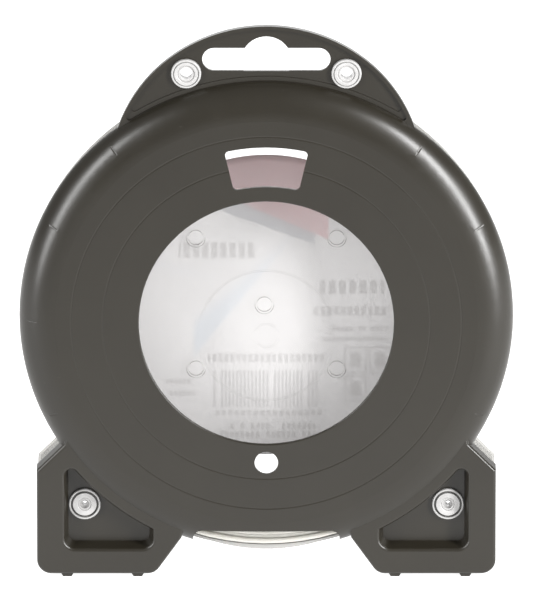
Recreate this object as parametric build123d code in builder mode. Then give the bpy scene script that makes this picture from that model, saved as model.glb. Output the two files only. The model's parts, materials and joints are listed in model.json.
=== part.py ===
"""Hanging pack of trimmer line: a dark rear shell and a clear front cover, riveted together,
hold one loose coil of round nylon line in the round channel between them.

Frame: +Z up, the rear shell faces -Y, x = 0 is the plane of symmetry. The origin is on the
surface that the feet stand on, midway through the pack's depth. "depth" below is measured from
the flat rear face towards the front, and radii are measured from the axis of the round housing.
"""
import os
from math import cos, hypot, radians, sin, tan

from build123d import *

# ---------------------------------------------------------------- driving dimensions, mm
AXIS_HEIGHT = 67.75         # axis of the round housing above the standing surface
PACK_DEPTH = 19.0           # rear face to the front of the coil dome
PARTING_DEPTH = 7.0         # where the two shells meet
REAR_WALL = 0.8
FRONT_WALL = 0.6

RING_R = 61.85              # outline of the round housing
OPENING_R = 31.9            # round opening in the rear shell
RIM_WIDTH = 9.0             # the rear rim is a quarter ellipse, this wide and PARTING_DEPTH deep

WINDOW_R = (35.75, 46.1)    # sector window above the opening
WINDOW_HALF_ANGLE = 13.2
GROOVE_R = (41.0, 48.9)     # shallow grooves in the ring's face
GROOVE_WIDTH = 0.6
GROOVE_DEPTH = 0.06
DENT_ANGLES = (-24.8, 0.0, 24.8, 49.6)  # small dents on the rim, degrees above level, each side
DENT_SLOPE = 41.0           # place on the rim's quarter ellipse, degrees from the flat face
DENT_TOOL_R = 0.5           # each dent is the bite of a small rod laid down the slope
DENT_TOOL_LENGTH = 8.0
DENT_DEPTH = 0.13
LINE_HOLE_R = 2.95          # hole below the opening
LINE_HOLE_DROP = 36.8

OUTLET_TOP = -55.0          # straight upper edge of the outlet cut in the rear shell's rim
OUTLET_HALF_WIDTH = 18.4
OUTLET_CORNER_R = 2.6
LIP_R = 44.7                # curved lip of the front cover under the outlet
LIP_BOTTOM = -61.85

HANDLE_R = 39.2             # the hanging tab is a crescent on the ring
HANDLE_RISE = 36.85
BEAD_WIDTH = 0.9            # raised bead around the crescent
BEAD_FOOT = 1.05            # its width at the foot
BEAD_HEIGHT = 0.8
PANEL_GAP = 1.0             # between the ring and the recessed panel of the tab
LEDGE_BITE = 0.2            # the ledge along that gap starts this far inside the ring
LEDGE_HEIGHT = 0.25         # and stands this far above the panel

SLOT_HALF_WIDTH = 16.0      # hanging slot, 32 mm wide
SLOT_HEIGHT = 5.9
SLOT_CENTRE_RISE = 67.25
SLOT_BUMP_R = 6.3
SLOT_BUMP_RISE = 66.9

FOOT_FACE_DEPTH = 2.0       # the feet's rear face, below the ring's face
FOOT_FRONT_DEPTH = 17.0
FOOT_OUTER_X = 57.6
FOOT_BOTTOM = -66.9
FOOT_INNER_X = 28.0
FOOT_TOP = (50.8, -32.7)    # where the 45 degree shoulder leaves the ring
FOOT_SHOULDER_Z = -39.5
FOOT_INSIDE = (21.3, -57.4)  # where the inner edge leaves the ring
FOOT_ROOT_R = 56.0          # the feet's outlines close inside the ring
FOOT_CORNER_R = {"outer": 3.6, "inner": 3.4}
COVER_INSET = 0.3           # the front feet stand this far inside the rear ones
PAD_X = (32.3, 50.0)        # two low pads under each foot
PAD_WIDTH = 3.1
PAD_ANGLE = 60.0

EDGE_ROUND = 0.8            # on the feet's rear edges
MOUTH_ROUND = 0.9           # on the rear pockets' mouths
FRONT_EDGE_ROUND = 1.2

POCKET_R = 62.0             # triangular pocket in each foot
POCKET_X = (28.4, 50.7)
POCKET_BOTTOM = -60.35
REAR_TAPER = 13.0           # slope of the pockets' walls
FRONT_TAPER = 5.5

RIVET_X_TOP, RIVET_Z_TOP = 20.0, 63.65
RIVET_X_FOOT, RIVET_Z_FOOT = 45.6, -49.5
RIVET_FLANGE = 1.0
RIVET_HOLE_R = 3.0
RIVET_BARREL_R = 2.95
RIVET_PLAY = 0.05           # between a pin and its socket
RIVET_FLANGE_R = {"top": 3.75, "foot": 4.0}
RIVET_GROOVE_R = {"top": (3.0, 3.25), "foot": (2.95, 3.5)}  # ring groove in the socket's flange
RIVET_GROOVE = {"top": 0.3, "foot": 0.65}
PIN_R = {"top": 2.05, "foot": 1.6}
PIN_BORE_R = {"top": 1.6, "foot": 0.65}
PIN_RECESS_R = 1.2          # wider end of the foot pins' bore
PIN_RECESS = 0.7
PIN_SETBACK = 0.3           # the pin ends this far inside its socket

DOME_R = 61.3               # wall of the clear coil dome
DOME_DRAFT = 0.4
DOME_ROUND = 7.0
HUB_R = 44.8                # foot and top of the wall between the dome and the label recess
HUB_TOP_R = 46.2
HUB_ROUND = 1.6
DISC_DEPTH = 15.0           # front of the disc that carries the label

PIP_X = 17.65               # four pips at the corners of a near square
PIP_Z = (-16.6, 17.85)
PIP_MIDDLE = (-0.5, 0.3)    # and one near the disc's centre
PIP_R = 2.5
PIP_HEIGHT = 0.7
PIP_TAPER = 25.0
SPOT_DROP = 7.85            # embossed circle on the disc
SPOT_R = 17.1
SPOT_MARK_R = 3.25
SPOT_WIDTH = 0.4
SPOT_HEIGHT = 0.15

LABEL_R = 39.5
LABEL_THICKNESS = 0.15

COIL_R = (49.6, 59.7)       # the coil of line
COIL_DEPTH = (3.9, 13.1)
COIL_ROUND = 2.4

SIDES = {"left": -1, "right": 1}
HOUSING_AXIS = Axis((0, 0, AXIS_HEIGHT), (0, 1, 0))
PIP_PLACES = [(sign * PIP_X, z) for sign in SIDES.values() for z in PIP_Z] + [PIP_MIDDLE]


# ---------------------------------------------------------------- planes and shared outlines
def at_depth(depth):
    """Plane across the pack: local x is +X, local y is +Z from the housing's axis."""
    return Plane(origin=(0, depth - PACK_DEPTH / 2, AXIS_HEIGHT), x_dir=(1, 0, 0), z_dir=(0, -1, 0))


# Plane through the housing's axis: local x is the radius, local y the depth.
SECTION = Plane(origin=(0, -PACK_DEPTH / 2, AXIS_HEIGHT), x_dir=(1, 0, 0), z_dir=(0, 0, 1))


def slab(profile, near, far):
    """Extrude a local sketch between two depths, near being the rear one."""
    with BuildPart(mode=Mode.PRIVATE) as block:
        with BuildSketch(at_depth(far)):
            add(profile)
        extrude(amount=far - near)
    return block.part


def crescent(inset=0.0):
    """Outline of the hanging tab, cut off just inside the ring's outline."""
    with BuildSketch(mode=Mode.PRIVATE) as outline:
        with Locations((0, HANDLE_RISE)):
            Circle(HANDLE_R - inset)
        Circle(RING_R - 0.5, mode=Mode.SUBTRACT)
    return outline.sketch_local


def tab_panel(bead, gap):
    """Area of the hanging tab inside a bead of that width, and that far outside the ring."""
    with BuildSketch(mode=Mode.PRIVATE) as outline:
        with Locations((0, HANDLE_RISE)):
            Circle(HANDLE_R - bead)
        Circle(RING_R + gap, mode=Mode.SUBTRACT)
        fillet(outline.vertices(), 0.8)
    return outline.sketch_local


def hanging_slot(margin=0.0):
    """Slot with round ends and a round bump over its middle."""
    with BuildSketch(mode=Mode.PRIVATE) as outline:
        with Locations((0, SLOT_CENTRE_RISE)):
            SlotOverall(2 * (SLOT_HALF_WIDTH + margin), SLOT_HEIGHT + 2 * margin)
        with Locations((0, SLOT_BUMP_RISE)):
            Circle(SLOT_BUMP_R + margin)
        with Locations((0, SLOT_BUMP_RISE - SLOT_HEIGHT / 2 - SLOT_BUMP_R)):
            Rectangle(4 * SLOT_BUMP_R, 2 * SLOT_BUMP_R - 2 * margin + 0.5, mode=Mode.SUBTRACT)
    return outline.sketch_local


def foot(side, inset=0.0):
    """Outline of one foot, closed along an arc inside the ring."""
    with BuildSketch(mode=Mode.PRIVATE) as outline:
        with BuildLine():
            root_top = (side * FOOT_ROOT_R * sin(radians(118)), FOOT_ROOT_R * cos(radians(118)))
            root_end = (side * FOOT_ROOT_R * sin(radians(159)), FOOT_ROOT_R * cos(radians(159)))
            Polyline(root_top,
                     (side * FOOT_TOP[0], FOOT_TOP[1]),
                     (side * FOOT_OUTER_X, FOOT_SHOULDER_Z),
                     (side * FOOT_OUTER_X, FOOT_BOTTOM),
                     (side * FOOT_INNER_X, FOOT_BOTTOM),
                     (side * FOOT_INSIDE[0], FOOT_INSIDE[1]),
                     root_end)
            RadiusArc(root_end, root_top, side * FOOT_ROOT_R)
        make_face()
        low = outline.vertices().group_by(Axis.Y)[0].sort_by(Axis.X)
        outer = low[-1] if side > 0 else low[0]
        inner = low[0] if side > 0 else low[-1]
        fillet(outer, FOOT_CORNER_R["outer"])
        fillet(outline.vertices().sort_by_distance(inner)[0],
               FOOT_CORNER_R["inner"])
        if inset:
            offset(amount=-inset, kind=Kind.INTERSECTION, mode=Mode.REPLACE)
    return outline.sketch_local


def pocket(side, grow=0.0):
    """Outline of the triangular pocket at the feet's rear face."""
    width = POCKET_X[1] - POCKET_X[0] + 2 * grow
    with BuildSketch(mode=Mode.PRIVATE) as outline:
        with Locations((side * (POCKET_X[0] + POCKET_X[1]) / 2, POCKET_BOTTOM - grow)):
            Rectangle(width, 40, align=(Align.CENTER, Align.MIN))
        Circle(POCKET_R - grow, mode=Mode.SUBTRACT)
        with Locations((0, -POCKET_R / 3)):
            Rectangle(4 * POCKET_R, POCKET_R, align=(Align.CENTER, Align.MIN), mode=Mode.SUBTRACT)
        apex = outline.vertices().sort_by(Axis.Y)[-1]
        fillet(apex, 1.8 + grow)
        fillet(outline.vertices().group_by(Axis.Y)[0], 2.8 + grow)
    return outline.sketch_local


def foot_pads(side):
    """The two low pads under one foot, flat where they stand."""
    with BuildSketch(mode=Mode.PRIVATE) as outline:
        with Locations([(side * pad_x, -AXIS_HEIGHT) for pad_x in PAD_X]):
            Trapezoid(PAD_WIDTH, AXIS_HEIGHT + FOOT_BOTTOM, PAD_ANGLE, rotation=180,
                      align=(Align.CENTER, Align.MAX))
    return outline.sketch_local


def window():
    """Sector window with rounded corners."""
    with BuildSketch(mode=Mode.PRIVATE) as outline:
        Circle(WINDOW_R[1])
        Circle(WINDOW_R[0], mode=Mode.SUBTRACT)
        reach = 2 * WINDOW_R[1]
        spread = reach * tan(radians(WINDOW_HALF_ANGLE))
        Polygon((0, 0), (spread, reach), (-spread, reach), align=None, mode=Mode.INTERSECT)
        fillet(outline.vertices(), 1.1)
    return outline.sketch_local


def outlet():
    """Cut through the rim between the feet, with rounded upper corners."""
    with BuildSketch(mode=Mode.PRIVATE) as outline:
        with Locations((0, OUTLET_TOP)):
            Rectangle(2 * OUTLET_HALF_WIDTH, 12, align=(Align.CENTER, Align.MAX))
        fillet(outline.vertices().group_by(Axis.Y)[-1], OUTLET_CORNER_R)
    return outline.sketch_local


def rear_profile(skin=0.0):
    """Profile of the solid rear dish, as (radius, depth): flat face and quarter-ellipse rim."""
    with BuildSketch(mode=Mode.PRIVATE) as profile:
        with BuildLine():
            rim_x = RING_R - RIM_WIDTH
            Polyline((0, PARTING_DEPTH), (0, skin), (rim_x, skin))
            EllipticalCenterArc((rim_x, PARTING_DEPTH), RIM_WIDTH - skin, PARTING_DEPTH - skin,
                                start_angle=270, arc_size=90)
            Line((RING_R - skin, PARTING_DEPTH), (0, PARTING_DEPTH))
        make_face()
    return profile.sketch_local


def dome_profile(skin=0.0):
    """Profile of the solid front cover, as (radius, depth): coil dome, hub wall and disc."""
    front = PACK_DEPTH - skin
    with BuildSketch(mode=Mode.PRIVATE) as profile:
        with BuildLine():
            Polyline((0, PARTING_DEPTH), (DOME_R - skin, PARTING_DEPTH),
                     (DOME_R - DOME_DRAFT - skin, front), (HUB_TOP_R + skin, front),
                     (HUB_R + skin, DISC_DEPTH - skin), (0, DISC_DEPTH - skin), close=True)
        make_face()
        top = profile.vertices().group_by(Axis.Y)[-1].sort_by(Axis.X)
        fillet(top[-1], DOME_ROUND - skin)
        fillet(profile.vertices().group_by(Axis.Y)[-1].sort_by(Axis.X)[0], HUB_ROUND - skin)
    return profile.sketch_local


def disc_of(profile):
    """Turn a profile about the housing's axis."""
    with BuildPart(mode=Mode.PRIVATE) as turned:
        with BuildSketch(SECTION):
            add(profile)
        revolve(axis=HOUSING_AXIS)
    return turned.part


def foot_block(side, inset, near, far, rounded_face=None, radius=0.0):
    """Foot between two depths, with the outer edges of its rear or front face rounded over."""
    with BuildPart(mode=Mode.PRIVATE) as block:
        with BuildSketch(at_depth(far)):
            add(foot(side, inset))
        extrude(amount=far - near)
        if rounded_face:
            face = block.faces().sort_by(Axis.Y)[0 if rounded_face == "rear" else -1]
            outer = [edge for edge in face.edges() if edge.geom_type != GeomType.CIRCLE
                     or edge.radius < FOOT_ROOT_R / 2]
            fillet(outer, radius)
    return block.part


def pocket_block(side, grow, mouth, floor, slope):
    """Tapered body of a foot's pocket, from its mouth to its floor."""
    with BuildPart(mode=Mode.PRIVATE) as block:
        with BuildSketch(at_depth(mouth)):
            add(pocket(side, grow))
        extrude(amount=mouth - floor, taper=slope)
    return block.part


def rim_dents():
    """Rods laid down the slope of the rim, each biting a small boat-shaped dent."""
    slope = radians(DENT_SLOPE)
    outward = (PARTING_DEPTH * sin(slope), -RIM_WIDTH * cos(slope))
    lift = (DENT_TOOL_R - DENT_DEPTH) / hypot(*outward)
    radius = RING_R - RIM_WIDTH * (1 - sin(slope)) + outward[0] * lift
    depth = PARTING_DEPTH * (1 - cos(slope)) + outward[1] * lift
    with BuildPart(mode=Mode.PRIVATE) as rods:
        for sign in SIDES.values():
            for angle in DENT_ANGLES:
                across, up = sign * cos(radians(angle)), sin(radians(angle))
                place = (radius * across, depth - PACK_DEPTH / 2, AXIS_HEIGHT + radius * up)
                downhill = (-outward[1] * across, outward[0], -outward[1] * up)
                with BuildSketch(Plane(origin=place, z_dir=downhill)):
                    Circle(DENT_TOOL_R)
                extrude(amount=DENT_TOOL_LENGTH / 2, both=True)
    return rods.part


# ---------------------------------------------------------------- rear shell
RIVETS = {f"{place}_{side}": (sign * x, z)
          for place, x, z in (("top", RIVET_X_TOP, RIVET_Z_TOP), ("foot", RIVET_X_FOOT, RIVET_Z_FOOT))
          for side, sign in SIDES.items()}
REAR_FLOOR = PARTING_DEPTH - REAR_WALL      # rear side of the sheet that the rivets hold
FRONT_FLOOR = PARTING_DEPTH + FRONT_WALL    # front side of the same stack

with BuildPart() as rear_shell:
    add(disc_of(rear_profile()))
    add(slab(crescent(), REAR_FLOOR - BEAD_HEIGHT, PARTING_DEPTH))
    add(slab(tab_panel(BEAD_WIDTH, -LEDGE_BITE), 0, REAR_FLOOR - LEDGE_HEIGHT), mode=Mode.SUBTRACT)
    add(slab(tab_panel(BEAD_FOOT, PANEL_GAP), 0, REAR_FLOOR), mode=Mode.SUBTRACT)
    for sign in SIDES.values():
        add(foot_block(sign, 0, FOOT_FACE_DEPTH, PARTING_DEPTH, "rear", EDGE_ROUND))
    add(disc_of(rear_profile(REAR_WALL)), mode=Mode.SUBTRACT)
    for sign in SIDES.values():
        add(foot_block(sign, REAR_WALL, FOOT_FACE_DEPTH + REAR_WALL, PARTING_DEPTH),
            mode=Mode.SUBTRACT)
        add(pocket_block(sign, REAR_WALL, FOOT_FACE_DEPTH, PARTING_DEPTH, REAR_TAPER))
        add(pocket_block(sign, 0, FOOT_FACE_DEPTH, REAR_FLOOR, REAR_TAPER), mode=Mode.SUBTRACT)
        add(slab(foot_pads(sign), FOOT_FACE_DEPTH + EDGE_ROUND, PARTING_DEPTH))
    with BuildSketch(at_depth(PARTING_DEPTH + 1)):
        add(hanging_slot())
        add(window())
        add(outlet())
        Circle(OPENING_R)
        with Locations((0, -LINE_HOLE_DROP)):
            Circle(LINE_HOLE_R)
        with Locations(list(RIVETS.values())):
            Circle(RIVET_HOLE_R)
    extrude(amount=PARTING_DEPTH + 2, mode=Mode.SUBTRACT)
    opening_edges = rear_shell.edges().filter_by(GeomType.CIRCLE).filter_by(
        lambda edge: abs(edge.radius - OPENING_R) < 0.01)
    fillet(opening_edges.sort_by(Axis.Y)[0], 0.35)
    with BuildSketch(SECTION):
        for radius in GROOVE_R:
            Polygon((radius - GROOVE_WIDTH / 2, 0), (radius + GROOVE_WIDTH / 2, 0),
                    (radius, GROOVE_DEPTH), align=None)
    revolve(axis=HOUSING_AXIS, mode=Mode.SUBTRACT)
    add(rim_dents(), mode=Mode.SUBTRACT)
    face_y = FOOT_FACE_DEPTH - PACK_DEPTH / 2
    mouth = [edge for edge in rear_shell.edges().filter_by_position(Axis.Y, face_y, face_y)
             if POCKET_X[0] - 1 < abs(edge.center().X) < POCKET_X[1] + 1
             and edge.center().Z > AXIS_HEIGHT + POCKET_BOTTOM - 1
             and abs(edge.center().X) ** 2 + (edge.center().Z - AXIS_HEIGHT) ** 2 > POCKET_R ** 2 - 1]
    fillet(mouth, MOUTH_ROUND)
rear_shell.part.label = "rear_shell"


# ---------------------------------------------------------------- front cover
def cover_outline():
    """Flange of the cover: the whole outline, with a short curved lip under the outlet."""
    with BuildSketch(mode=Mode.PRIVATE) as outline:
        Circle(RING_R)
        add(crescent(COVER_INSET))
        for sign in SIDES.values():
            add(foot(sign))
        with Locations((0, OUTLET_TOP)):
            Rectangle(2 * OUTLET_HALF_WIDTH, 12, align=(Align.CENTER, Align.MAX), mode=Mode.SUBTRACT)
        Circle(DOME_R)
    return outline.sketch_local


def lip():
    """Curved lip that stands a little below the dome's wall."""
    with BuildSketch(mode=Mode.PRIVATE) as outline:
        with Locations((0, LIP_BOTTOM + LIP_R)):
            Circle(LIP_R)
        with Locations((0, OUTLET_TOP)):
            Rectangle(2 * OUTLET_HALF_WIDTH, 12, align=(Align.CENTER, Align.MAX), mode=Mode.INTERSECT)
    return outline.sketch_local


with BuildPart() as front_cover:
    add(slab(cover_outline(), PARTING_DEPTH, FRONT_FLOOR))
    add(slab(lip(), PARTING_DEPTH, FRONT_FLOOR))
    add(disc_of(dome_profile()))
    for sign in SIDES.values():
        add(foot_block(sign, COVER_INSET, PARTING_DEPTH, FOOT_FRONT_DEPTH, "front", FRONT_EDGE_ROUND))
    add(disc_of(dome_profile(FRONT_WALL)), mode=Mode.SUBTRACT)
    for sign in SIDES.values():
        add(foot_block(sign, COVER_INSET + FRONT_WALL, PARTING_DEPTH, FOOT_FRONT_DEPTH - FRONT_WALL,
                       "front", FRONT_EDGE_ROUND - FRONT_WALL), mode=Mode.SUBTRACT)
        add(pocket_block(sign, FRONT_WALL, FOOT_FRONT_DEPTH, PARTING_DEPTH, FRONT_TAPER))
        add(pocket_block(sign, 0, FOOT_FRONT_DEPTH, FRONT_FLOOR, FRONT_TAPER),
            mode=Mode.SUBTRACT)
    disc_back = DISC_DEPTH - FRONT_WALL
    with BuildSketch(at_depth(disc_back)):
        with Locations((0, -SPOT_DROP)):
            Circle(SPOT_R + SPOT_WIDTH / 2)
            Circle(SPOT_R - SPOT_WIDTH / 2, mode=Mode.SUBTRACT)
            Circle(SPOT_MARK_R)
            Circle(SPOT_MARK_R - SPOT_WIDTH, mode=Mode.SUBTRACT)
    extrude(amount=SPOT_HEIGHT)
    with BuildSketch(at_depth(disc_back)):
        with Locations(PIP_PLACES):
            Circle(PIP_R)
    extrude(amount=PIP_HEIGHT, taper=PIP_TAPER)
    with BuildSketch(at_depth(DISC_DEPTH)):
        with Locations(PIP_PLACES):
            Circle(PIP_R - FRONT_WALL)
    extrude(amount=PIP_HEIGHT, mode=Mode.SUBTRACT)
    with BuildSketch(at_depth(PARTING_DEPTH - 1)):
        add(hanging_slot(COVER_INSET))
        with Locations(list(RIVETS.values())):
            Circle(RIVET_HOLE_R)
    extrude(amount=-(FRONT_WALL + 2), mode=Mode.SUBTRACT)
front_cover.part.label = "front_cover"


# ---------------------------------------------------------------- label and line
with BuildPart() as front_label:
    with BuildSketch(at_depth(DISC_DEPTH + LABEL_THICKNESS)):
        Circle(LABEL_R)
    extrude(amount=LABEL_THICKNESS)
front_label.part.label = "front_label"

with BuildPart() as line_coil:
    with BuildSketch(SECTION):
        with Locations((sum(COIL_R) / 2, sum(COIL_DEPTH) / 2)):
            RectangleRounded(COIL_R[1] - COIL_R[0], COIL_DEPTH[1] - COIL_DEPTH[0], COIL_ROUND)
    revolve(axis=HOUSING_AXIS)
line_coil.part.label = "line_coil"


# ---------------------------------------------------------------- two-part rivets
def turned(profile, place):
    """Turn a (radius, depth) profile about an axis through a place on the sheets."""
    centre = (place[0], 0, AXIS_HEIGHT + place[1])
    plane = Plane(origin=(centre[0], -PACK_DEPTH / 2, centre[2]), x_dir=(1, 0, 0), z_dir=(0, 0, 1))
    with BuildPart(mode=Mode.PRIVATE) as body:
        with BuildSketch(plane):
            add(profile)
        revolve(axis=Axis(centre, (0, 1, 0)))
    return body.part


def socket_profile(place):
    """Rear half: a grooved flange on the rear sheet and a barrel through both sheets."""
    back = REAR_FLOOR - RIVET_FLANGE
    bore = PIN_R[place] + RIVET_PLAY
    flange = RIVET_FLANGE_R[place]
    groove_in, groove_out = RIVET_GROOVE_R[place]
    with BuildSketch(mode=Mode.PRIVATE) as profile:
        with BuildLine():
            Polyline((bore, back), (flange, back), (flange, REAR_FLOOR),
                     (RIVET_BARREL_R, REAR_FLOOR), (RIVET_BARREL_R, FRONT_FLOOR),
                     (bore, FRONT_FLOOR), close=True)
        make_face()
        fillet(profile.vertices().sort_by_distance((flange, back))[0], 0.25)
        fillet(profile.vertices().sort_by_distance((bore, back))[0], 0.25)
        with Locations((groove_in, back)):
            Rectangle(groove_out - groove_in, RIVET_GROOVE[place], align=Align.MIN,
                      mode=Mode.SUBTRACT)
    return profile.sketch_local


def pin_profile(place):
    """Front half: a head on the front sheet and a bored pin that snaps into the socket."""
    front = FRONT_FLOOR + RIVET_FLANGE
    tip = REAR_FLOOR - RIVET_FLANGE + PIN_SETBACK
    head = RIVET_FLANGE_R[place]
    bore = PIN_BORE_R[place]
    with BuildSketch(mode=Mode.PRIVATE) as profile:
        with BuildLine():
            Polyline((bore, front), (head, front), (head, FRONT_FLOOR),
                     (PIN_R[place], FRONT_FLOOR), (PIN_R[place], tip), (bore, tip), close=True)
        make_face()
        fillet(profile.vertices().group_by(Axis.Y)[-1].sort_by(Axis.X)[-1], 0.45)
        if bore < PIN_RECESS_R:
            with Locations((bore, tip)):
                Rectangle(PIN_RECESS_R - bore, PIN_RECESS, align=Align.MIN, mode=Mode.SUBTRACT)
    return profile.sketch_local


pieces = [rear_shell.part, front_cover.part, front_label.part, line_coil.part]
for name, centre in RIVETS.items():
    place = name.split("_")[0]
    socket_half = turned(socket_profile(place), centre)
    socket_half.label = f"rivet_socket_{name}"
    pin_half = turned(pin_profile(place), centre)
    pin_half.label = f"rivet_pin_{name}"
    pieces += [socket_half, pin_half]

os.makedirs("parts", exist_ok=True)
for piece in pieces:
    export_step(piece, f"parts/{piece.label}.step")
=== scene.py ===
"""Looks of the trimmer line pack: materials, the wound line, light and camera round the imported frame."""
import json
import math
import random

import bmesh
import bpy
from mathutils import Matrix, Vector


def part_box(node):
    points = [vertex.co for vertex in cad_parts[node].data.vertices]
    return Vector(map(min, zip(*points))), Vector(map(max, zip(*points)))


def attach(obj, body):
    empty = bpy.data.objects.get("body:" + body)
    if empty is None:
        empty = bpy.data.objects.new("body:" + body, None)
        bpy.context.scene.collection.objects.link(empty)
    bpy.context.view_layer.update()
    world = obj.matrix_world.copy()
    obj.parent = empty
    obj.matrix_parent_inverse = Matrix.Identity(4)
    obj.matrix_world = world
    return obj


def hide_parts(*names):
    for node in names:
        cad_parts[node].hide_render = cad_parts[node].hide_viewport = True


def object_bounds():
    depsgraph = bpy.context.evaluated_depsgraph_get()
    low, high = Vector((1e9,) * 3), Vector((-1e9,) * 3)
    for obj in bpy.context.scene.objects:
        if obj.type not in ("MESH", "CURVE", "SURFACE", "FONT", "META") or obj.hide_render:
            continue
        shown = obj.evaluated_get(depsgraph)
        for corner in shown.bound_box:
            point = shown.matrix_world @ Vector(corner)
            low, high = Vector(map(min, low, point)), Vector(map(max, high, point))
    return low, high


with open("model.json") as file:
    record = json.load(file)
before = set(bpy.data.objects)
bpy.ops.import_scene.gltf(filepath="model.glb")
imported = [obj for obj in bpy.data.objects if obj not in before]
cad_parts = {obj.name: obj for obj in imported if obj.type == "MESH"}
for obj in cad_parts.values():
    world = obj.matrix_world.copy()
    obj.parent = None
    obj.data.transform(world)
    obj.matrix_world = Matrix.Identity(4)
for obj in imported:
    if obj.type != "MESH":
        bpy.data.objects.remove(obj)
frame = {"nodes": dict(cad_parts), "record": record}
cad_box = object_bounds()
nodes = frame["nodes"]

MM = 0.001

# ---------------------------------------------------------------- places taken from the frame
disc_low, disc_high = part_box("front_label")
coil_low, coil_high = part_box("line_coil")
AXIS_Z = (coil_low.z + coil_high.z) / 2
REAR_Y = cad_box[0].y
LABEL_R = (disc_high.x - disc_low.x) / 2


# ---------------------------------------------------------------- node helpers
class Nodes:
    """A short way to write one material's node tree."""

    def __init__(self, name):
        self.material = bpy.data.materials.new(name)
        self.material.use_nodes = True
        self.tree = self.material.node_tree
        self.tree.nodes.clear()
        self.output = self.tree.nodes.new("ShaderNodeOutputMaterial")

    def set(self, socket, value):
        """Link a socket to another socket, or set its own value."""
        if isinstance(value, bpy.types.NodeSocket):
            self.tree.links.new(value, socket)
        else:
            socket.default_value = value

    def node(self, kind, out=0, settings=None, **inputs):
        """Add a node; inputs are socket names with _ for a space, or i0, i1 ... for places."""
        made = self.tree.nodes.new(kind)
        for key, value in (settings or {}).items():
            setattr(made, key, value)
        for key, value in inputs.items():
            place = int(key[1:]) if key[0] == "i" and key[1:].isdigit() else key.replace("_", " ")
            self.set(made.inputs[place], value)
        return made.outputs[out]

    def split(self, vector):
        """X, Y and Z of a vector, by name."""
        made = self.tree.nodes.new("ShaderNodeSeparateXYZ")
        self.set(made.inputs[0], vector)
        return made.outputs

    def math(self, operation, a, b=0.0, c=0.0, clamp=False):
        """Add a maths node; c is the last term of MULTIPLY_ADD."""
        return self.node("ShaderNodeMath", settings={"operation": operation, "use_clamp": clamp},
                         i0=a, i1=b, i2=c)

    def noise(self, where, scale, detail=2.0, rough=0.5):
        """Add a noise texture, scale being its features per metre, about."""
        return self.node("ShaderNodeTexNoise", Vector=where, Scale=scale, Detail=detail,
                         Roughness=rough)

    def ramp(self, value, low, high, to_low=0.0, to_high=1.0, smooth=True):
        """Carry the range low..high to to_low..to_high, clamped at both ends."""
        kind = "SMOOTHSTEP" if smooth else "LINEAR"
        return self.node("ShaderNodeMapRange", settings={"interpolation_type": kind},
                         i0=value, i1=low, i2=high, i3=to_low, i4=to_high)

    def mix(self, factor, a, b):
        """Mix two colours."""
        made = self.tree.nodes.new("ShaderNodeMix")
        made.data_type = "RGBA"
        self.set(made.inputs[0], factor)
        self.set(made.inputs[6], a)
        self.set(made.inputs[7], b)
        return made.outputs[2]

    def bump(self, height, distance, strength=1.0):
        """Add a bump; distance is in metres."""
        return self.node("ShaderNodeBump", Height=height, Distance=distance, Strength=strength)

    def shader(self, **inputs):
        """Add a Principled shader."""
        return self.node("ShaderNodeBsdfPrincipled", **inputs)

    def finish(self, shader):
        """Link the shader to the output and give back the material."""
        self.tree.links.new(shader, self.output.inputs["Surface"])
        return self.material


def colour(red, green, blue):
    """Linear colour from sRGB bytes."""
    def linear(byte):
        part = byte / 255
        return part / 12.92 if part <= 0.04045 else ((part + 0.055) / 1.055) ** 2.4
    return (linear(red), linear(green), linear(blue), 1.0)


def object_place(tree):
    """Place on an object, which is the place in the frame at rest."""
    return tree.node("ShaderNodeTexCoord", out="Object")


# ---------------------------------------------------------------- materials
SEAM_HALF_WIDTH = (0.1 * MM, 0.25 * MM)     # full out to the first, gone at the second
SCUFF_STRETCH = (9.0, 9.0, 60.0)            # scuffs are streaks, much longer than wide
SCUFF_TILT = 0.6


def rear_plastic():
    """Smooth dark olive-grey moulding: soft gloss, faint mottling, light scuffs and a mould seam."""
    tree = Nodes("rear_shell_plastic")
    place = object_place(tree)
    mottle = tree.noise(place, 45.0, 4.0, 0.6)
    base = tree.mix(mottle, colour(29, 26, 20), colour(36, 33, 26))
    seam = tree.ramp(tree.math("ABSOLUTE", tree.split(place)["X"]), *SEAM_HALF_WIDTH, 0.35, 0.0)
    base = tree.mix(seam, base, colour(30, 28, 24))
    stretched = tree.node("ShaderNodeMapping", Vector=place, Scale=SCUFF_STRETCH,
                          Rotation=(0.0, SCUFF_TILT, 0.0))
    scuff = tree.ramp(tree.noise(stretched, 22.0, 5.0, 0.7), 0.66, 0.78)
    base = tree.mix(tree.math("MULTIPLY", scuff, 0.2), base, colour(92, 89, 82))
    smear = tree.ramp(tree.noise(place, 70.0, 4.0), 0.3, 0.7, 0.29, 0.35)
    rough = tree.math("MULTIPLY_ADD", scuff, 0.12, smear)
    grain = tree.noise(place, 1400.0, 2.0)
    normal = tree.bump(grain, 0.02 * MM, 0.4)
    return tree.finish(tree.shader(Base_Color=base, Roughness=rough, Normal=normal, IOR=1.49))


CLEAR_INDEX = 1.45
LIP_TOP = AXIS_Z - 55.0 * MM    # the lip under the outlet is frosted
LIP_FADE = 1.0 * MM             # the frost comes in over this distance below the lip's top
LIP_HALF_WIDTH = 18.0 * MM
LIP_FROST = 0.75


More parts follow.
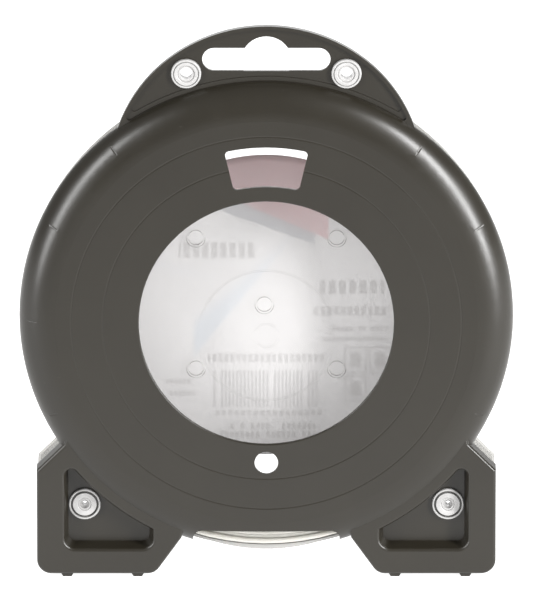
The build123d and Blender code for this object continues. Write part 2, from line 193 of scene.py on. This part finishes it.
def clear_plastic():
    """Thin clear sheet: mirrors a little, greys towards its edges and lets the rest through."""
    tree = Nodes("clear_cover_plastic")
    place = object_place(tree)
    edge = tree.node("ShaderNodeLayerWeight", out="Facing", Blend=0.5)
    steep = tree.ramp(edge, 0.5, 0.85)
    leaving = tree.node("ShaderNodeNewGeometry", out="Backfacing")
    # Nothing bends the rays here, so a ray that leaves the sheet mirrors like one that enters it.
    index = tree.math("MULTIPLY_ADD", leaving, 1 / CLEAR_INDEX - CLEAR_INDEX, CLEAR_INDEX)
    mirror = tree.node("ShaderNodeFresnel", IOR=index)
    haze = tree.ramp(steep, 0.0, 1.0, 0.015, 0.28, smooth=False)
    parts = tree.split(place)
    low = tree.ramp(parts["Z"], LIP_TOP - LIP_FADE, LIP_TOP, 1.0, 0.0)
    middle = tree.ramp(tree.math("ABSOLUTE", parts["X"]), LIP_HALF_WIDTH, LIP_HALF_WIDTH + LIP_FADE,
                       1.0, 0.0)
    frost = tree.math("MULTIPLY", low, middle)
    haze = tree.math("MULTIPLY_ADD", frost, LIP_FROST, haze)
    tint = tree.mix(steep, (0.972, 0.97, 0.97, 1.0), (0.38, 0.37, 0.35, 1.0))
    tint = tree.mix(frost, tint, (0.72, 0.71, 0.69, 1.0))
    through = tree.node("ShaderNodeBsdfTransparent", Color=tint)
    milk = tree.mix(frost, (0.62, 0.62, 0.60, 1.0), (0.46, 0.455, 0.44, 1.0))
    body = tree.shader(Base_Color=milk, Roughness=0.14, IOR=1.5,
                       Normal=tree.bump(tree.noise(place, 130.0, 2.0), 0.1 * MM, 0.25))
    factor = tree.math("MAXIMUM", mirror, haze)
    return tree.finish(tree.node("ShaderNodeMixShader", i0=factor, i1=through, i2=body))


# Softness of the edges of the ring of painted shade on the rivets.
SHADE_RING_SOFTNESS = 0.15 * MM


def rivet_plastic(row, across, up, shade_ring):
    """Milky natural plastic, with a ring of painted shade between a rivet's rim and its middle.

    The shade ring is its inner radius, its outer radius and its painted shade colour; across and up
    are the place of a rivet's axis on either side.
    """
    tree = Nodes("rivet_plastic_" + row)
    place = object_place(tree)
    parts = tree.split(place)
    side = tree.math("SUBTRACT", tree.math("ABSOLUTE", parts["X"]), across)
    rise = tree.math("SUBTRACT", parts["Z"], up)
    radius = tree.math("SQRT", tree.math("ADD", tree.math("MULTIPLY", side, side),
                                         tree.math("MULTIPLY", rise, rise)))
    inner, outer, shade_tone = shade_ring
    # Painted shade: the ring between the inner and the outer radius takes the darker shade colour.
    ring = tree.math("MULTIPLY",
                     tree.ramp(radius, inner - SHADE_RING_SOFTNESS, inner + SHADE_RING_SOFTNESS),
                     tree.ramp(radius, outer - SHADE_RING_SOFTNESS, outer + SHADE_RING_SOFTNESS, 1.0, 0.0))
    cloud = tree.noise(place, 500.0, 3.0)
    base = tree.mix(cloud, colour(158, 157, 156), colour(176, 175, 174))
    base = tree.mix(ring, base, shade_tone)
    return tree.finish(tree.shader(Base_Color=base, Roughness=0.3, IOR=1.5,
                                   Normal=tree.bump(cloud, 0.05 * MM, 0.4)))


def nylon():
    """Milky white extruded line."""
    tree = Nodes("nylon_line")
    place = object_place(tree)
    base = tree.mix(tree.noise(place, 60.0, 3.0), colour(176, 174, 168), colour(193, 191, 184))
    return tree.finish(tree.shader(Base_Color=base, Roughness=0.34, IOR=1.53,
                                   Subsurface_Weight=0.8, Subsurface_Scale=3 * MM,
                                   Subsurface_Radius=(1.0, 1.0, 1.0)))


def line_side(tree, parts, x0, z0, x1, z1, soft=0.25):
    """1 above the line through two places, 0 below it."""
    slope = (z1 - z0) / (x1 - x0)
    above = tree.math("SUBTRACT", parts["Z"],
                      tree.math("MULTIPLY_ADD", parts["X"], slope, z0 - slope * x0))
    return tree.ramp(above, -soft, soft)


def left_of(tree, parts, limit, soft=0.25):
    """1 on the side of smaller x, 0 past the limit."""
    return tree.ramp(parts["X"], limit - soft, limit + soft, 1.0, 0.0)


def block(tree, place, x0, x1, z0, z1, soft=0.15):
    """1 inside an upright rectangle, in millimetres from the disc's centre."""
    away = tree.node("ShaderNodeVectorMath", settings={"operation": "SUBTRACT"},
                     i0=place, i1=((x0 + x1) / 2, 0.0, (z0 + z1) / 2))
    away = tree.node("ShaderNodeVectorMath", settings={"operation": "ABSOLUTE"}, i0=away)
    away = tree.node("ShaderNodeVectorMath", settings={"operation": "SUBTRACT"},
                     i0=away, i1=((x1 - x0) / 2, 100.0, (z1 - z0) / 2))
    over = tree.split(away)
    return tree.ramp(tree.math("MAXIMUM", over["X"], over["Z"]),
                     -soft, soft, 1.0, 0.0)


def cells(tree, parts, pitch, seed, filled, share):
    """Upright bars: of each pitch the given share is inked, where a random draw says so."""
    run = tree.math("DIVIDE", parts["X"], pitch)
    draw = tree.node("ShaderNodeTexWhiteNoise", settings={"noise_dimensions": "1D"},
                     W=tree.math("ADD", tree.math("FLOOR", run), seed))
    inked = tree.math("LESS_THAN", draw, filled)
    return tree.math("MULTIPLY", inked, tree.ramp(tree.math("FRACT", run), share, share + 0.1,
                                                  1.0, 0.0))


# Rows of plain dashes in place of the words: left, right, bottom, top in millimetres as seen from
# the rear, then the pitch of the dashes.
ROWS = ((-22.0, -3.0, 12.3, 16.4, 2.3), (13.4, 29.7, 2.9, 6.4, 2.6), (10.0, 30.8, -2.8, -0.4, 1.7),
        (15.6, 30.8, -7.0, -5.7, 1.1), (14.0, 30.0, -9.6, -8.4, 1.1), (-14.7, 14.5, -15.1, -12.9, 1.5),
        (-25.4, -18.7, -20.9, -19.5, 1.1), (-24.6, -17.8, -24.1, -22.7, 1.1),
        (-13.0, 14.0, -29.2, -27.8, 1.6), (-9.7, 12.3, -32.8, -31.3, 1.3),
        (-12.0, 13.0, -35.0, -33.4, 1.3))
# Hollow frames in place of the signs, and upright stripes in place of the bar code, in the same way.
FRAMES = ((19.6, 25.2, -18.1, -11.0), (25.8, 31.4, -18.1, -11.0), (19.6, 25.2, -25.6, -18.7))
FRAME_LINE = 0.4
STRIPES = (-13.6, 13.1, -27.0, -17.2)
STRIPE_PITCH = 0.95


def printed(tree, place, parts):
    """Masks of the label's print, each with the ink's colour and what is seen of it from behind.

    The masks are a pale sweep, a blue wedge, a grey band, a red field over it, rows of words and
    stripes. Later ones cover earlier ones.
    """
    top = tree.math("MULTIPLY", line_side(tree, parts, -4.1, 25.9, 12.0, 18.8),
                    left_of(tree, parts, 15.6))
    band = tree.math("MULTIPLY", line_side(tree, parts, -10.8, 24.5, 12.25, 15.9),
                     left_of(tree, parts, 12.25))
    swoosh = tree.math("MULTIPLY", line_side(tree, parts, -28.0, 9.6, -12.5, 6.2, 1.2),
                       tree.math("SUBTRACT", 1.0, line_side(tree, parts, -28.0, 11.8, -12.5, 7.6)))
    swoosh = tree.math("MULTIPLY", swoosh, left_of(tree, parts, -12.5, 3.0))
    wedge = tree.math("MULTIPLY", line_side(tree, parts, -3.5, 5.0, -18.1, -13.6),
                      tree.math("SUBTRACT", 1.0, line_side(tree, parts, -3.5, 8.5, -18.1, -4.5, 2.5)))
    wedge = tree.math("MULTIPLY", wedge, tree.math("SUBTRACT", 1.0, left_of(tree, parts, -18.1)))
    words = 0.0
    for number, (x0, x1, z0, z1, pitch) in enumerate(ROWS):
        dashes = cells(tree, parts, pitch, 17.0 * number + 3.0, 0.86, 0.62)
        row = tree.math("MULTIPLY", block(tree, place, x0, x1, z0, z1), dashes)
        words = tree.math("MAXIMUM", words, row)
    for x0, x1, z0, z1 in FRAMES:
        hollow = tree.math("SUBTRACT", block(tree, place, x0, x1, z0, z1),
                           block(tree, place, x0 + FRAME_LINE, x1 - FRAME_LINE,
                                 z0 + FRAME_LINE, z1 - FRAME_LINE), clamp=True)
        inset = (x1 - x0) * 0.27
        sign = block(tree, place, x0 + inset, x1 - inset, z0 + inset, z1 - inset, 0.6)
        words = tree.math("MAXIMUM", words, tree.math("MAXIMUM", hollow, sign))
    stripes = tree.math("MULTIPLY", block(tree, place, *STRIPES),
                        cells(tree, parts, STRIPE_PITCH, 5.0, 0.9, 0.5))
    return ((swoosh, colour(176, 178, 182), colour(236, 236, 237)),
            (wedge, colour(150, 172, 190), colour(226, 230, 235)),
            (band, colour(74, 82, 94), colour(206, 206, 209)),
            (top, colour(186, 40, 46), colour(216, 192, 194)),
            (words, colour(44, 44, 48), colour(214, 212, 211)),
            (stripes, colour(30, 30, 32), colour(212, 210, 210)))


FILM_GLOW = 0.62            # share of the light that goes through the film


def label_film():
    """Thin white film, printed on its front; the print shows faintly through its back."""
    tree = Nodes("label_film")
    place = object_place(tree)
    centred = tree.node("ShaderNodeVectorMath", settings={"operation": "SUBTRACT"},
                        i0=place, i1=(0.0, (disc_low.y + disc_high.y) / 2, AXIS_Z))
    centred = tree.node("ShaderNodeVectorMath", settings={"operation": "SCALE"},
                        i0=centred, i3=1 / MM)
    parts = tree.split(centred)
    cloud = tree.noise(place, 35.0, 3.0)
    paper = tree.mix(cloud, colour(228, 228, 228), colour(240, 240, 240))
    rear = tree.mix(cloud, colour(220, 219, 219), colour(231, 230, 230))
    ink = paper
    through = rear
    for mask, seen, faded in printed(tree, centred, parts):
        ink = tree.mix(mask, ink, seen)
        through = tree.mix(mask, through, faded)
    front = tree.math("GREATER_THAN", parts["Y"], 0.0)
    body = tree.shader(Base_Color=tree.mix(front, rear, ink), Roughness=0.42)
    back = tree.node("ShaderNodeBsdfTranslucent", Color=tree.mix(front, rear, through))
    return tree.finish(tree.node("ShaderNodeMixShader", i0=FILM_GLOW, i1=body, i2=back))


def rivet_place(name):
    """Distance from the plane of symmetry, and height, of a rivet's centre."""
    low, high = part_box(name)
    return abs(low.x + high.x) / 2, (low.z + high.z) / 2


# Painted shade: on the top rivets a thin darker ring stands in for the shade in a groove on the flange; on
# the foot rivets a dark grey ring stands in for the dark shell seen through the milky flange.
TOP_GROOVE_SHADE = (3.02 * MM, 3.24 * MM, colour(150, 150, 148))
FOOT_SEE_THROUGH_SHADE = (3.0 * MM, 3.48 * MM, colour(70, 69, 66))
MATERIALS = {"rear_plastic": rear_plastic(), "clear_plastic": clear_plastic(),
             "label_film": label_film(), "nylon_line": nylon()}
RIVET_LOOKS = {"top": rivet_plastic("top", *rivet_place("rivet_socket_top_right"), TOP_GROOVE_SHADE),
               "foot": rivet_plastic("foot", *rivet_place("rivet_socket_foot_right"), FOOT_SEE_THROUGH_SHADE)}
SLOT_OF = {entry["node"]: entry["material_slot"] for entry in frame["record"]["subparts"]}
for name, node in nodes.items():
    look = RIVET_LOOKS[name.split("_")[2]] if name.startswith("rivet") else MATERIALS[SLOT_OF[name]]
    for slot in node.material_slots:
        slot.material = look


# ---------------------------------------------------------------- the label
FILM_THICKNESS = 0.09 * MM
FILM_GAP = 0.03 * MM        # air between the film and the clear disc
FILM_WAVE = 0.012 * MM
FILM_RINGS = 20
FILM_STEPS = 120


def label():
    """Printed disc of film, very slightly wavy, in the place of the plain CAD disc."""
    mesh = bpy.data.meshes.new("printed_label")
    made = bmesh.new()
    sides = []
    for depth in (disc_low.y + FILM_GAP, disc_low.y + FILM_GAP + FILM_THICKNESS):
        middle = made.verts.new((0.0, depth, AXIS_Z))
        rings = []
        for ring in range(1, FILM_RINGS + 1):
            radius = LABEL_R * ring / FILM_RINGS
            circle = []
            for step in range(FILM_STEPS):
                turn = 2 * math.pi * step / FILM_STEPS
                wave = FILM_WAVE * math.sin(3 * turn + 9 * ring / FILM_RINGS)
                circle.append(made.verts.new((radius * math.cos(turn), depth + wave,
                                              AXIS_Z + radius * math.sin(turn))))
            rings.append(circle)
        sides.append((middle, rings))
    for middle, rings in sides:
        for step in range(FILM_STEPS):
            after = (step + 1) % FILM_STEPS
            made.faces.new((middle, rings[0][step], rings[0][after]))
            for inner, outer in zip(rings, rings[1:]):
                made.faces.new((inner[step], outer[step], outer[after], inner[after]))
    for step in range(FILM_STEPS):
        after = (step + 1) % FILM_STEPS
        rear, front = sides[0][1][-1], sides[1][1][-1]
        made.faces.new((rear[step], rear[after], front[after], front[step]))
    bmesh.ops.recalc_face_normals(made, faces=made.faces)
    for face in made.faces:
        face.smooth = abs(face.normal.y) > 0.5
    made.to_mesh(mesh)
    made.free()
    mesh.materials.append(MATERIALS["label_film"])
    piece = bpy.data.objects.new("printed_label", mesh)
    bpy.context.scene.collection.objects.link(piece)
    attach(piece, "housing")
    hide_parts("front_label")


label()


# ---------------------------------------------------------------- the line
LINE_D = 1.3 * MM
LINE_LENGTH = 15.0
TURNS_IN_LAYER = 6
LAYER_PITCH = 1.2 * MM
TURN_PITCH = 1.43 * MM
POINTS_PER_TURN = 20
WANDER = 0.05 * MM
WANDER_RATE = 9.0           # how fast the wander goes round, about, in radians per metre
FIRST_ANGLE = 40.0          # where each turn begins, degrees above +X
STEP_FROM = 0.7             # share of a turn after which it steps over to the next place


def turn_places():
    """Radius and depth of each turn, layer by layer from the outside, to and fro in depth."""
    radius = (coil_high.x - coil_low.x) / 2 - LINE_D / 2 - WANDER
    first = coil_low.y + LINE_D / 2 + WANDER
    layer = 0
    while True:
        offset = (layer % 2) * TURN_PITCH / 2
        steps = range(TURNS_IN_LAYER)
        for step in (steps if layer % 2 == 0 else reversed(steps)):
            yield radius, first + offset + step * TURN_PITCH
        radius -= LAYER_PITCH
        layer += 1


def wound_line():
    """Control points of one long winding, from its outer end to its inner end.

    The curve runs a little inside its control points, so these are moved out to make up for it.
    """
    random.seed(7)
    shrink = (3 + math.cos(2 * math.pi / POINTS_PER_TURN)) / 4
    drift_wave, sway_wave = [(random.uniform(0, 6.28), random.uniform(0.7, 1.9)) for _ in range(2)]
    points = []
    length = 0.0
    places = turn_places()
    here = next(places)
    while length < LINE_LENGTH:
        there = next(places)
        for step in range(POINTS_PER_TURN):
            share = step / POINTS_PER_TURN
            over = min(max((share - STEP_FROM) / (1 - STEP_FROM), 0.0), 1.0)
            over = over * over * (3 - 2 * over)
            turn = 2 * math.pi * share + math.radians(FIRST_ANGLE)
            run = length * WANDER_RATE
            drift = WANDER * math.sin(run * drift_wave[1] + drift_wave[0])
            sway = WANDER * math.sin(run * sway_wave[1] + sway_wave[0])
            radius = here[0] + (there[0] - here[0]) * over + drift
            depth = here[1] + (there[1] - here[1]) * over + sway
            reach = radius / shrink if points else radius   # the spline starts on its first point
            points.append(Vector((reach * math.cos(turn), depth, AXIS_Z + reach * math.sin(turn))))
            length += 2 * math.pi * radius / POINTS_PER_TURN
            if length >= LINE_LENGTH:
                break
        here = there
    return points


def line_curve():
    """The line as one tube along the winding, turning with the coil."""
    points = wound_line()
    curve = bpy.data.curves.new("nylon_line", "CURVE")
    curve.dimensions = "3D"
    curve.resolution_u = 4
    curve.bevel_depth = LINE_D / 2
    curve.bevel_resolution = 2
    curve.use_fill_caps = True
    spline = curve.splines.new("NURBS")
    spline.points.add(len(points) - 1)
    for point, place in zip(spline.points, points):
        point.co = (*place, 1.0)
    spline.order_u = 3
    spline.use_endpoint_u = True
    piece = bpy.data.objects.new("nylon_line", curve)
    bpy.context.scene.collection.objects.link(piece)
    curve.materials.append(MATERIALS["nylon_line"])
    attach(piece, "coil")
    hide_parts("line_coil")
    return piece


line_curve()


# ---------------------------------------------------------------- stage, light and camera
FLOOR_GLOW = 0.95
FLOOR_FRONT = 0.2           # share of the glow left at the viewer's side of the table
FLOOR_FADE = (-0.03, -0.40)  # depths between which it fades
WORLD_LIGHT = 0.35


def floor():
    """White light table."""
    mesh = bpy.data.meshes.new("floor")
    half = 4.0
    mesh.from_pydata([(-half, -half, 0), (half, -half, 0), (half, half, 0), (-half, half, 0)], [],
                     [(0, 1, 2, 3)])
    piece = bpy.data.objects.new("floor", mesh)
    bpy.context.scene.collection.objects.link(piece)
    tree = Nodes("floor_paint")
    glow = tree.ramp(tree.split(object_place(tree))["Y"], FLOOR_FADE[1], FLOOR_FADE[0],
                     FLOOR_FRONT * FLOOR_GLOW, FLOOR_GLOW)
    mesh.materials.append(tree.finish(tree.shader(
        Base_Color=(0.5, 0.5, 0.5, 1.0), Roughness=0.9, Specular_IOR_Level=0.0,
        Emission_Color=(1.0, 1.0, 1.0, 1.0), Emission_Strength=glow)))


def area_light(name, place, size, power):
    """Rectangular soft box that faces the middle of the pack."""
    light = bpy.data.lights.new(name, "AREA")
    light.shape = "RECTANGLE"
    light.size, light.size_y = size
    light.energy = power
    piece = bpy.data.objects.new(name, light)
    centre = Vector((0, 0, AXIS_Z))
    piece.location = centre + Vector(place)
    piece.rotation_euler = (-Vector(place)).to_track_quat("-Z", "Y").to_euler()
    bpy.context.scene.collection.objects.link(piece)


def studio():
    """Two tall soft boxes at the sides, one before the clear cover, and a weak even surround."""
    area_light("left_box", (-0.84, -0.54, 0.28), (0.20, 0.90), 11.5)
    area_light("right_box", (0.80, -0.57, 0.32), (0.20, 0.90), 24.0)
    area_light("front_box", (0, 1.1, 0.5), (1.2, 0.8), 7.5)
    world = bpy.data.worlds.new("studio")
    world.use_nodes = True
    world.node_tree.nodes["Background"].inputs["Color"].default_value = (1, 1, 1, 1)
    world.node_tree.nodes["Background"].inputs["Strength"].default_value = WORLD_LIGHT
    bpy.context.scene.world = world


CAMERA_RISE = 18.0          # degrees above level
CAMERA_DISTANCE = 5.0
VIEW_WIDTH = 135.5 * MM     # width of the view at the rear face
VIEW_CENTRE = (1.17 * MM, REAR_Y, AXIS_Z + 6.16 * MM)


def camera():
    """Long lens on the rear shell, a little above it."""
    made = bpy.data.cameras.new("camera")
    made.sensor_fit = "HORIZONTAL"
    made.lens = made.sensor_width * CAMERA_DISTANCE / VIEW_WIDTH
    made.clip_end = 20.0
    piece = bpy.data.objects.new("camera", made)
    rise = math.radians(CAMERA_RISE)
    away = Vector((0, -math.cos(rise), math.sin(rise)))
    piece.location = Vector(VIEW_CENTRE) + away * CAMERA_DISTANCE
    piece.rotation_euler = (-away).to_track_quat("-Z", "Y").to_euler()
    bpy.context.scene.collection.objects.link(piece)
    bpy.context.scene.camera = piece
    bpy.context.scene.view_settings.view_transform = "Standard"


floor()
studio()
camera()
